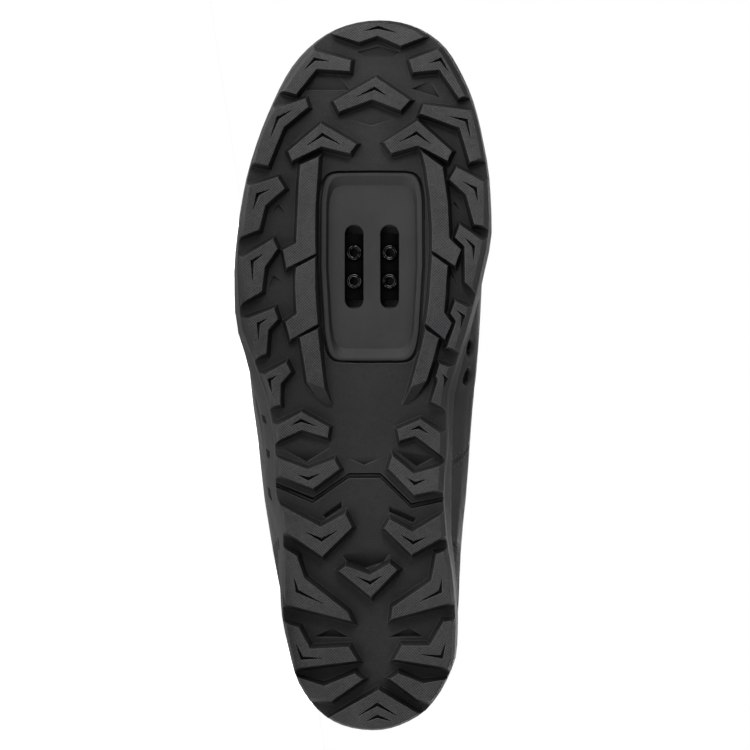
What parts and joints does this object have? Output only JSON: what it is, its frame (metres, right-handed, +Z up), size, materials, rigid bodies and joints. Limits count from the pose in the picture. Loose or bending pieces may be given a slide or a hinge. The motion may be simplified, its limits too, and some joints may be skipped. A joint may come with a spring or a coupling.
{
  "type": "cycling shoe",
  "caption": "Right cycling shoe with a lugged rubber sole and a two-bolt cleat window, lying on its outer side.",
  "frame": {"origin": "middle of the footprint, on the floor that the shoe's outer side lies on", "axes": "-X towards the toe, -Y out of the tread, +Z up, towards the inner side of the foot"},
  "size_m": [0.2802, 0.1236, 0.1079],
  "materials": {
    "tread_rubber": "matte",
    "plate_plastic": "satin",
    "nut_steel": "brushed",
    "midsole_foam": "matte",
    "upper_leather": "matte",
    "lining_fabric": "matte"
  },
  "bodies": {
    "root": {"outsole": "tread_rubber", "cleat_plate": "plate_plastic", "cleat_nut_plate": "nut_steel", "midsole": "midsole_foam", "insole": "lining_fabric", "upper": "upper_leather", "tongue": "lining_fabric", "forefoot_strap": "upper_leather", "instep_strap": "upper_leather", "ankle_strap": "upper_leather"}
  },
  "joints": []
}
